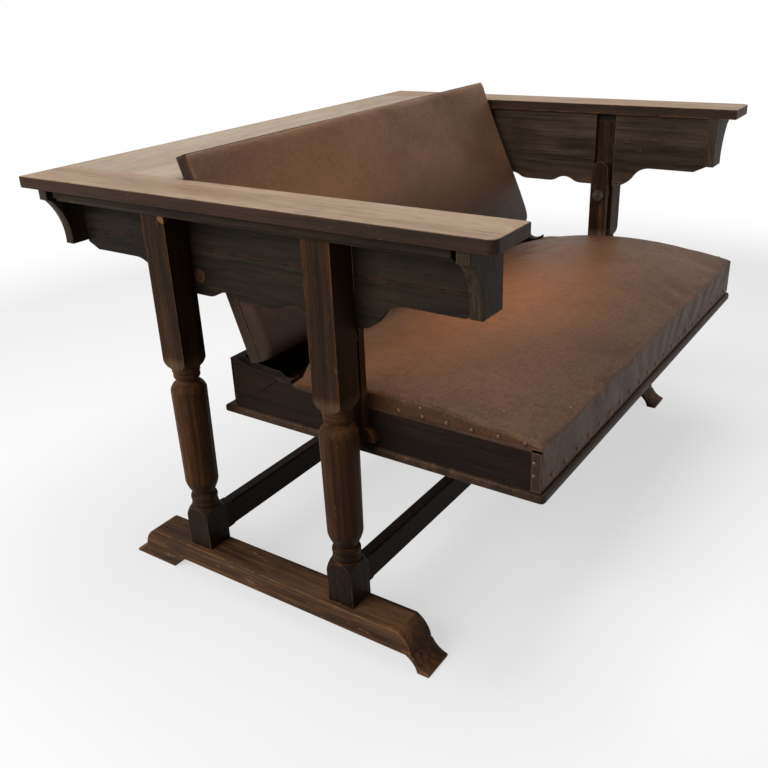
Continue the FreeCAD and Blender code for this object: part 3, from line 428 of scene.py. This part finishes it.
def swell(pad, held, push, cap, slack):
    """Fill a pad by simulation, holding some of its points and letting none go far."""
    start = [v.co.copy() for v in pad.data.vertices]
    group = pad.vertex_groups.new(name="held")
    for index in held:
        group.add([index], 1.0, "REPLACE")
    bpy.context.scene.frame_set(0)
    cloth = pad.modifiers.new("stuffing", "CLOTH")
    rules = cloth.settings
    rules.quality = 5
    rules.mass = 0.3
    rules.tension_stiffness = rules.compression_stiffness = 15.0
    rules.bending_stiffness = 2.0
    rules.use_pressure = True
    rules.uniform_pressure_force = push
    rules.vertex_group_mass = "held"
    rules.shrink_min = -slack
    rules.effector_weights.gravity = 0.0
    for number in range(1, SETTLED + 1):
        bpy.context.scene.frame_set(number)
    seen = pad.evaluated_get(bpy.context.evaluated_depsgraph_get()).to_mesh()
    moved = [v.co.copy() for v in seen.vertices]
    pad.modifiers.remove(cloth)
    bpy.context.scene.frame_set(1)
    for vertex, was, now in zip(pad.data.vertices, start, moved):
        step = now - was
        vertex.co = was + step * (cap / (cap + step.length))
    pad.vertex_groups.clear()


def spread(start, end, step):
    """Even places from start to end, about one step apart."""
    count = max(1, round(abs(end - start) / step))
    return [start + (end - start) * i / count for i in range(count + 1)]


def islands(node):
    """The separate heads of a CAD node of tacks: each one's middle and outward way."""
    form = bmesh.new()
    form.from_mesh(nodes[node].data)
    bmesh.ops.remove_doubles(form, verts=form.verts, dist=0.00001)
    taken = set()
    found = []
    for first in form.verts:
        if first in taken:
            continue
        taken.add(first)
        group = [first]
        for vertex in group:
            others = [edge.other_vert(vertex) for edge in vertex.link_edges]
            fresh = [other for other in others if other not in taken]
            taken.update(fresh)
            group += fresh
        faces = [face for vertex in group for face in vertex.link_faces]
        flat = max(faces, key=lambda face: face.calc_area())
        outward = -flat.normal
        middle = sum((v.co for v in group), Vector()) / len(group)
        base = min((v.co - middle).dot(outward) for v in group)
        found.append((middle + outward * base, outward))
    form.free()

    def turn(item):
        """From left to right and front to rear, up the left corner and down the right."""
        x, y, z = [round(value, 5) for value in item[0]]
        return x, y, z if x < 0 else -z

    return sorted(found, key=turn)


# Seat cushion
seat_low, seat_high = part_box("seat_cushion")
seat_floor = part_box("seat_deck")[1].z
SEAT_ROLL, SEAT_DRAW = 0.026, 0.016
SEAT_SIDE, SEAT_EDGE, SEAT_END, SEAT_CROWN, SEAT_DROP = 0.022, 0.030, 0.007, 0.032, 0.004
SEAT_RISE = 0.001
SKIRT = 0.004
MESH = 0.009
FIRST_COLUMN = 0.026
EDGE_STEPS = (0.0, 0.0006, 0.0022, 0.005, 0.0095, 0.016)


def seat_height(x, y):
    """Height of the cushion's top over the seat's deck."""
    near_y = max(0.0, min(1.0, (y - seat_low.y) / SEAT_ROLL, (seat_high.y - y) / SEAT_ROLL))
    near_x = max(0.0, min(1.0, (seat_high.x - abs(x)) / SEAT_DRAW))
    lost = SEAT_DROP * (1 - math.sqrt(1 - (1 - near_y) ** 2))
    across = max(0.0, 1 - (abs(x) / (seat_high.x - SEAT_DRAW)) ** 2)
    along = max(0.0, math.sin(math.pi * (y - seat_low.y) / (seat_high.y - seat_low.y)))
    edge = SEAT_END + (SEAT_EDGE - SEAT_END) * along - lost
    side = edge * (1 - SEAT_SIDE / SEAT_EDGE) * (1 - math.sqrt(1 - (1 - near_x) ** 2))
    crown = SEAT_RISE + (SEAT_CROWN - SEAT_EDGE - SEAT_RISE) * along
    return edge - side + crown * across


# The section of the cushion: up at the rear, over the top and down the front skirt
ROLL_STEPS = (0.02, 0.1, 0.25, 0.5, 0.8)
DOWN_STEPS = (0.04, 0.10, 0.18, 0.26, 0.36, 0.48, 0.6, 0.72, 0.84, 0.94, 1.0)
flat_rear, flat_front = seat_high.y - SEAT_ROLL * 1.2, seat_low.y + SEAT_ROLL * 1.2
seat_path = [("up", 0.0), ("up", 0.5), ("up", 0.9)]
seat_path += [("top", seat_high.y - SEAT_ROLL * k) for k in ROLL_STEPS]
seat_path += [("top", y) for y in spread(flat_rear, flat_front, MESH)]
seat_path += [("top", seat_low.y + SEAT_ROLL * k) for k in reversed(ROLL_STEPS)]
seat_path += [("down", k) for k in DOWN_STEPS]


def seat_outer(x, step):
    """A point on the outside of the cushion."""
    way, value = step
    if way == "up":
        return x, seat_high.y, seat_floor + value * seat_height(x, seat_high.y)
    if way == "top":
        return x, value, seat_floor + seat_height(x, value)
    top = seat_floor + seat_height(x, seat_low.y)
    return x, seat_low.y, top + (seat_low.z - top) * value


laid_flat = [step for step in seat_path if step[0] != "down"]


def seat_inner(x, step):
    """Its point on the flat underside, or behind the skirt."""
    way, value = step
    if way == "down":
        return x, seat_low.y + SKIRT, seat_floor + (seat_low.z - seat_floor) * value
    share = laid_flat.index(step) / len(laid_flat)
    rear = seat_high.y - 0.001
    return x, rear + (seat_low.y + SKIRT - rear) * share, seat_floor


def columns_to(half, step):
    """Places from one end of a pad to the other, closer together near the ends."""
    inside = spread(-half + FIRST_COLUMN, half - FIRST_COLUMN, step)
    return [-half + e for e in EDGE_STEPS] + inside + [half - e for e in reversed(EDGE_STEPS)]


seat_pad, seat_second = cover("seat_leather", columns_to(seat_high.x, MESH), seat_path,
                              seat_outer, seat_inner, leather_seat, "seat")
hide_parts("seat_cushion")

# Back pad, in the back's own leaning frame with its pivot at the origin
BACK_LEAN = math.radians(19)
dowel_low, dowel_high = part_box("back_dowel_left")
pivot = (dowel_low + dowel_high) / 2
leaning = Matrix.Translation((0.0, pivot.y, pivot.z)) @ Matrix.Rotation(-BACK_LEAN, 4, "X")
BACK_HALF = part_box("back_cushion")[1].x
BACK_TOP, BACK_FOOT, BOARD_FRONT, BOARD_REAR = 0.188, -0.168, -0.0285, -0.0145
PAD_TOP, PAD_MIDDLE, PAD_FOOT, PAD_DRAW = 0.015, 0.029, 0.042, 0.0144
ROLL_FOOT, ROLL_TOP = 0.030, 0.016
BACK_MESH = 0.012
RIM_DEPTH, END_DEPTH, FULL_DEPTH = 0.55, 0.45, 0.93


def back_depth(z):
    """Depth of the pad in front of its board, deepest at the foot."""
    if z > 0:
        depth = PAD_MIDDLE + (PAD_TOP - PAD_MIDDLE) * math.sin(math.pi / 2 * z / BACK_TOP)
    else:
        depth = PAD_MIDDLE + (PAD_FOOT - PAD_MIDDLE) * math.sin(math.pi / 2 * z / BACK_FOOT)
    near = max(0.0, min(1.0, (z - BACK_FOOT) / ROLL_FOOT, (BACK_TOP - z) / ROLL_TOP))
    return depth * (RIM_DEPTH + (1 - RIM_DEPTH) * math.sqrt(1 - (1 - near) ** 2))


def back_outer(x, z):
    near = max(0.0, min(1.0, (BACK_HALF - abs(x)) / PAD_DRAW))
    middle = max(0.0, 1 - (abs(x) / (BACK_HALF - PAD_DRAW)) ** 2)
    full = FULL_DEPTH + (1 - FULL_DEPTH) * middle
    share = END_DEPTH + (full - END_DEPTH) * math.sqrt(1 - (1 - near) ** 2)
    return leaning @ Vector((x, BOARD_FRONT - back_depth(z) * share, z))


def back_inner(x, z):
    return leaning @ Vector((x, BOARD_FRONT, z))


RIM_STEPS = (0.0, 0.02, 0.1, 0.3, 0.6)
back_rows = [BACK_FOOT + ROLL_FOOT * k for k in RIM_STEPS]
back_rows += spread(BACK_FOOT + ROLL_FOOT, BACK_TOP - ROLL_TOP, BACK_MESH)
back_rows += [BACK_TOP - ROLL_TOP * k for k in reversed(RIM_STEPS)]
back_pad, back_second = cover("back_leather", columns_to(BACK_HALF, BACK_MESH), back_rows,
                              back_outer, back_inner, leather_back, "back")
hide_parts("back_cushion")

seat_nails = [spot for spot, outward in islands("seat_tacks")]
CLOSE, HEM, NAIL_HOLD = 0.0005, 0.004, 0.011
held = []
for index, vertex in enumerate(seat_pad.data.vertices):
    at = vertex.co
    behind = at.z <= seat_floor + CLOSE and at.y > seat_low.y + SKIRT - CLOSE
    skirt_back = at.y >= seat_low.y + SKIRT - CLOSE and at.z < seat_floor
    skirt_foot = at.z < seat_low.z + HEM
    if behind or skirt_back or skirt_foot or seat_second <= index < 2 * seat_second:
        held.append(index)
    elif min((at - spot).length for spot in seat_nails) < NAIL_HOLD:
        held.append(index)
swell(seat_pad, held, push=0.22, cap=0.005, slack=0.007)
swell(back_pad, range(back_second, 2 * back_second), push=0.06, cap=0.004, slack=0.0015)

for pad in (seat_pad, back_pad):
    finer = pad.modifiers.new("finer", "SUBSURF")
    finer.levels = finer.render_levels = 1


# Hide lapped over the edges of the back board and round the seat's front corners
BOX_SIDES = ((0, 1, 3, 2), (4, 6, 7, 5), (0, 4, 5, 1), (2, 3, 7, 6), (0, 2, 6, 4), (1, 5, 7, 3))


def laps(name, boxes, body, frame_matrix=Matrix()):
    """Thin rounded strips of hide, as one piece made of separate closed boxes."""
    points, faces = [], []
    for low, high in boxes:
        start = len(points)
        for x in (low[0], high[0]):
            for y in (low[1], high[1]):
                for z in (low[2], high[2]):
                    points.append(frame_matrix @ Vector((x, y, z)))
        faces += [tuple(start + corner for corner in side) for side in BOX_SIDES]
    piece = piece_from(name, points, faces, leather_lap, body, smooth=False)
    bevel = piece.modifiers.new("soft edge", "BEVEL")
    bevel.width = 0.0005
    bevel.segments = 2


# how far a lap stands off its board, and how far it reaches into it
STANDS_END, STANDS_TOP, STANDS_FACE, SUNK, SUNK_TOP = 0.0014, 0.0013, 0.0011, 0.0004, 0.0006
OVER_PAD, DOWN_REAR = 0.006, 0.016
end = BACK_HALF + STANDS_END
over = BACK_TOP + STANDS_TOP
front_of, back_of = BOARD_FRONT - OVER_PAD, BOARD_REAR + STANDS_FACE
back_boxes = [((-end, front_of, BACK_TOP - SUNK_TOP), (end, back_of, over)),
              ((-end, BOARD_REAR - SUNK, BACK_TOP - DOWN_REAR), (end, back_of, over))]
for side in (-1, 1):
    edges = sorted((side * (BACK_HALF - SUNK), side * end))
    back_boxes.append(((edges[0], front_of, BACK_FOOT), (edges[1], back_of, over)))
laps("back_laps", back_boxes, "back", leaning)

PANEL_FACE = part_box("seat_panel_right")[1].x
CORNER_LAP, CORNER_TOP = 0.0165, 0.003
STRIP_LOW, STRIP_TOP, STRIP_END = 0.0035, 0.0012, 0.004
seat_boxes = []
for side in (-1, 1):
    edges = sorted((side * (PANEL_FACE - SUNK_TOP), side * (PANEL_FACE + STANDS_FACE)))
    start_y = seat_low.y + SUNK
    seat_boxes.append(((edges[0], start_y, seat_low.z + CLOSE),
                       (edges[1], seat_low.y + CORNER_LAP, seat_floor + CORNER_TOP)))
    seat_boxes.append(((edges[0], start_y, seat_floor - STRIP_LOW),
                       (edges[1], seat_high.y - STRIP_END, seat_floor + STRIP_TOP)))
laps("seat_laps", seat_boxes, "seat")


# Hide laid on behind the cushion, narrower towards its rear edge
HIDE_START, HIDE_END = seat_high.y - 0.003, seat_high.y + 0.056
HIDE_HALF, HIDE_DRAW, HIDE_CUT = PANEL_FACE - 0.024, 0.112, 0.13
HIDE_FRONT, HIDE_REAR, HIDE_UNDER = 0.0042, 0.0030, 0.0005


def hide_spot(u, v, height):
    """A place on the hide, u across from -1 to 1 and v to the rear from 0 to 1."""
    half = HIDE_HALF - HIDE_DRAW * v - HIDE_CUT * max(0.0, 2 * v - 1)
    return u * half, HIDE_START + (HIDE_END - HIDE_START) * v, seat_floor + height


def hide_top(u, v):
    return hide_spot(u, v, HIDE_FRONT + (HIDE_REAR - HIDE_FRONT) * v)


def hide_under(u, v):
    return hide_spot(u, v, HIDE_UNDER)


hide_behind, _ = cover("rear_leather", spread(-1.0, 1.0, 0.04), spread(0.0, 1.0, 0.1),
                       hide_top, hide_under, leather_seat, "seat")


# Tacks
def tack_heads(name, node, body, leather):
    """Domed heads, each a little different, seated on the leather."""
    graph = bpy.context.evaluated_depsgraph_get()
    skin = BVHTree.FromObject(leather, graph) if leather else None
    points, faces = [], []
    rings = [(0.0044, -0.0006), (0.0046, 0.0001), (0.0044, 0.0007), (0.0036, 0.0016),
             (0.0024, 0.0022), (0.0011, 0.00255)]
    tip_height = 0.0027
    around = 16
    for spot, outward in islands(node):
        if skin:
            hit = skin.ray_cast(spot + outward * 0.02, -outward, 0.035)
            if hit[0]:
                spot = hit[0]
        tilt = Vector([chance.uniform(-0.09, 0.09) for _ in range(3)])
        turn = (outward + tilt).normalized().to_track_quat("Z", "Y").to_matrix()
        size = chance.uniform(0.92, 1.06)
        start = len(points)
        for radius, height in rings:
            for k in range(around):
                angle = 2 * math.pi * k / around
                wobble = size * (1 + 0.03 * math.sin(3 * angle + start))
                points.append(spot + turn @ Vector((radius * wobble * math.cos(angle),
                                                    radius * wobble * math.sin(angle), height)))
        for ring in range(len(rings) - 1):
            for k in range(around):
                a, b = start + ring * around + k, start + ring * around + (k + 1) % around
                faces.append((a, b, b + around, a + around))
        top = start + (len(rings) - 1) * around
        points.append(spot + turn @ Vector((0, 0, tip_height)))
        tip = len(points) - 1
        faces += [(top + k, top + (k + 1) % around, tip) for k in range(around)]
        faces.append(tuple(start + k for k in range(around - 1, -1, -1)))
    heads = piece_from(name, points, faces, tack_metal, body)
    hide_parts(node)


tack_heads("seat_tack_heads", "seat_tacks", "seat", seat_pad)
tack_heads("back_tack_heads", "back_tacks", "back", None)


# Floor, lamps, world and camera
WHITE = (1.0, 1.0, 1.0, 1.0)
FLOOR_REACH, FLOOR_DROP = 30.0, 0.0004


def floor_finish():
    """Pale floor that keeps the shadow, and bounces little light up."""
    f = Finish(bpy.data.materials.new("pale floor"))
    far = f.add("ShaderNodeVectorMath", {"operation": "LENGTH"}, {0: f.place()}, out="Value")
    far = far.rising(0.9, 2.6)
    pale = f.add("ShaderNodeBsdfDiffuse", None, {"Color": paint(250, 250, 250)})
    grey = f.add("ShaderNodeBsdfDiffuse", None, {"Color": paint(84, 80, 76)})
    glow = f.add("ShaderNodeEmission", None, {"Color": WHITE, "Strength": 1.0})
    shown = f.add("ShaderNodeMixShader", None, {0: far.at_least(0.6), 1: pale, 2: glow})
    whole = f.add("ShaderNodeMixShader", None, {0: f.looked_at(), 1: grey, 2: shown})
    f.add("ShaderNodeOutputMaterial", None, {"Surface": whole})
    return f.block


def floor_piece():
    mesh = bpy.data.meshes.new("floor")
    corners = [(x * FLOOR_REACH, y * FLOOR_REACH, 0)
               for x, y in ((-1, -1), (1, -1), (1, 1), (-1, 1))]
    mesh.from_pydata(corners, [], [(0, 1, 2, 3)])
    mesh.materials.append(floor_finish())
    floor = bpy.data.objects.new("floor", mesh)
    floor.location.z = -FLOOR_DROP
    bpy.context.scene.collection.objects.link(floor)


floor_piece()


def lamp(name, place, aim, wide, high, watts):
    """A soft box aimed at a point."""
    light = bpy.data.lights.new(name, "AREA")
    light.shape = "RECTANGLE"
    light.size = wide
    light.size_y = high
    light.energy = watts
    lamp_object = bpy.data.objects.new(name, light)
    lamp_object.location = place
    way = Vector(aim) - Vector(place)
    lamp_object.rotation_euler = way.to_track_quat("-Z", "Y").to_euler()
    bpy.context.scene.collection.objects.link(lamp_object)


lamp("window side", (-4.0, 1.3, 2.5), (0.0, 0.0, 0.5), 3.2, 2.8, 158.0)
lamp("overhead", (0.1, 0.0, 2.9), (0.0, 0.0, 0.4), 1.8, 1.8, 52.0)
lamp("front fill", (1.4, -2.8, 1.5), (0.0, 0.0, 0.4), 2.0, 1.6, 1.5)

world = bpy.data.worlds.new("studio")
bpy.context.scene.world = world
room = Finish(world)
dim, bright = [room.add("ShaderNodeBackground", None, {"Color": WHITE, "Strength": strength})
               for strength in (0.10, 1.0)]
sky = room.add("ShaderNodeMixShader", None, {0: room.looked_at(), 1: dim, 2: bright})
room.add("ShaderNodeOutputWorld", None, {"Surface": sky})

camera = bpy.data.cameras.new("camera")
camera.sensor_fit = "HORIZONTAL"
camera.sensor_width = 36.0
camera.lens = 41.153
camera.clip_start, camera.clip_end = 0.05, 200.0
camera_object = bpy.data.objects.new("camera", camera)
camera_object.location = (-1.49886, -0.89850, 1.02707)
camera_object.rotation_euler = [math.radians(a) for a in (65.01345, 2.23147, -56.11551)]
bpy.context.scene.collection.objects.link(camera_object)
bpy.context.scene.camera = camera_object
bpy.context.scene.view_settings.view_transform = "Standard"
